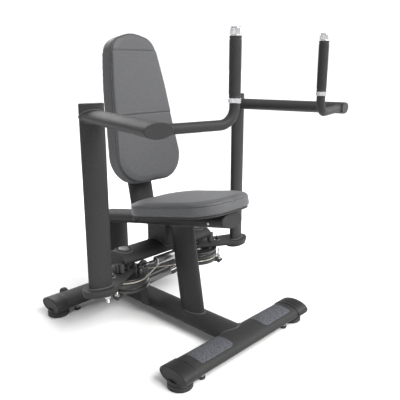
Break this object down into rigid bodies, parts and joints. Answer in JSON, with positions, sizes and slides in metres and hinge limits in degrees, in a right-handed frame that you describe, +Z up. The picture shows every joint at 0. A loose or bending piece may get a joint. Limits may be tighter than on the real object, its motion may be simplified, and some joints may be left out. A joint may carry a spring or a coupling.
{
  "type": "seated chest fly machine",
  "caption": "Seated gym machine with a padded seat and back, swinging upright arms with high grips, crossed synchronising cables and hydraulic cylinders below the seat, on a tubular base.",
  "frame": {"origin": "on the floor, under the centre of the object's box", "axes": "+X to the right as one faces the machine from the front, which is where the names left and right are taken from, +Y towards the back rest and rear wheels, +Z up; the sitter faces -Y"},
  "size_m": [1.0594, 1.0271, 1.1674],
  "materials": {
    "frame_paint": "fine textured charcoal powder coat",
    "end_plastic": "moulded black plastic, satin",
    "grit": "blue grey granular anti-slip sheet",
    "seat_leather": "mid grey leatherette with double top seam",
    "back_leather": "mid grey leatherette with edge piping and cross seams",
    "board": "black painted plywood",
    "tube_cap": "charcoal flat cap, satin",
    "pivot_button": "light grey moulded cap",
    "bush_bronze": "sintered bronze, oiled",
    "shaft_steel": "ground steel",
    "disc_paint": "black gloss paint",
    "grip_rubber": "ribbed black rubber",
    "grip_chrome": "polished",
    "cable_coat": "wire rope in a clear coat",
    "cylinder_body": "satin silver",
    "polished_rod": "hard chrome",
    "wheel_rubber": "solid black tyre"
  },
  "bodies": {
    "frame": {"front_foot_tube": "frame_paint", "rear_foot_tube": "frame_paint", "main_beam": "frame_paint", "end_cap_front_left": "end_plastic", "end_cap_front_right": "end_plastic", "end_cap_rear_left": "end_plastic", "end_cap_rear_right": "end_plastic", "grip_strip_left": "grit", "grip_strip_right": "grit", "seat_tube": "frame_paint", "seat_tube_cap": "tube_cap", "seat_post": "frame_paint", "rear_leg": "frame_paint", "cross_beam": "frame_paint", "hanger": "frame_paint", "seat_pad": "seat_leather", "seat_board": "board", "back_pad": "back_leather", "back_board": "board", "back_post": "frame_paint", "pivot_housing_left": "frame_paint", "pivot_bush_left": "bush_bronze", "pivot_cap_left": "pivot_button", "wheel_bracket_left": "frame_paint", "pivot_housing_right": "frame_paint", "pivot_bush_right": "bush_bronze", "pivot_cap_right": "pivot_button", "wheel_bracket_right": "frame_paint", "sync_cable_upper": "cable_coat", "sync_cable_lower": "cable_coat", "cylinder_anchor_upper": "frame_paint", "cylinder_anchor_lower": "frame_paint"},
    "arm_left": {"pivot_shaft_left": "shaft_steel", "pulley_disc_left": "disc_paint", "lever_plate_left": "frame_paint", "cable_tab_left": "frame_paint", "arm_post_left": "frame_paint", "post_cap_left": "tube_cap", "arm_bar_left": "frame_paint", "bar_cap_left": "tube_cap", "handle_tube_left": "frame_paint", "grip_sleeve_left": "grip_rubber", "grip_cap_left": "grip_chrome"},
    "arm_right": {"pivot_shaft_right": "shaft_steel", "pulley_disc_right": "disc_paint", "lever_plate_right": "frame_paint", "cable_tab_right": "frame_paint", "arm_post_right": "frame_paint", "post_cap_right": "tube_cap", "arm_bar_right": "frame_paint", "bar_cap_right": "tube_cap", "handle_tube_right": "frame_paint", "grip_sleeve_right": "grip_rubber", "grip_cap_right": "grip_chrome"},
    "upper_barrel": {"cylinder_barrel_upper": "cylinder_body"},
    "upper_rod": {"cylinder_rod_upper": "polished_rod"},
    "lower_barrel": {"cylinder_barrel_lower": "cylinder_body"},
    "lower_rod": {"cylinder_rod_lower": "polished_rod"},
    "wheel_left": {"transport_wheel_left": "wheel_rubber"},
    "wheel_right": {"transport_wheel_right": "wheel_rubber"}
  },
  "joints": [
    {"name": "left_arm_swing", "type": "hinge", "parent": "frame", "child": "arm_left", "pos_m": [-0.2006, 0.0826, 0.25], "axis": [0, 0, 1], "range_deg": [-60, 15]},
    {"name": "right_arm_swing", "type": "hinge", "parent": "frame", "child": "arm_right", "pos_m": [0.2006, 0.0826, 0.25], "axis": [0, 0, 1], "range_deg": [-15, 60]},
    {"name": "upper_barrel_swing", "type": "hinge", "parent": "frame", "child": "upper_barrel", "pos_m": [0.09, 0.028, 0.276], "axis": [0, 0, 1], "range_deg": [-1, 2]},
    {"name": "upper_rod_slide", "type": "slide", "parent": "upper_barrel", "child": "upper_rod", "axis": [-0.9999, -0.0101, 0], "range_m": [-0.018, 0.067]},
    {"name": "lower_barrel_swing", "type": "hinge", "parent": "frame", "child": "lower_barrel", "pos_m": [-0.09, 0.114, 0.152], "axis": [0, 0, 1], "range_deg": [-1, 1]},
    {"name": "lower_rod_slide", "type": "slide", "parent": "lower_barrel", "child": "lower_rod", "axis": [0.9945, 0.1047, 0], "range_m": [-0.067, 0.018]},
    {"name": "left_wheel_spin", "type": "hinge", "parent": "frame", "child": "wheel_left", "pos_m": [-0.235, 0.486, 0.0345], "axis": [1, 0, 0], "continuous": true},
    {"name": "right_wheel_spin", "type": "hinge", "parent": "frame", "child": "wheel_right", "pos_m": [0.235, 0.486, 0.0345], "axis": [1, 0, 0], "continuous": true}
  ],
  "couplings": [
    {"joint": "right_arm_swing", "follows": "left_arm_swing", "ratio": -1},
    {"joint": "upper_barrel_swing", "follows": "left_arm_swing", "ratio": -0.0275},
    {"joint": "upper_rod_slide", "follows": "left_arm_swing", "m_per_rad": -0.063},
    {"joint": "lower_barrel_swing", "follows": "left_arm_swing", "ratio": 0.0111},
    {"joint": "lower_rod_slide", "follows": "left_arm_swing", "m_per_rad": 0.0632}
  ]
}
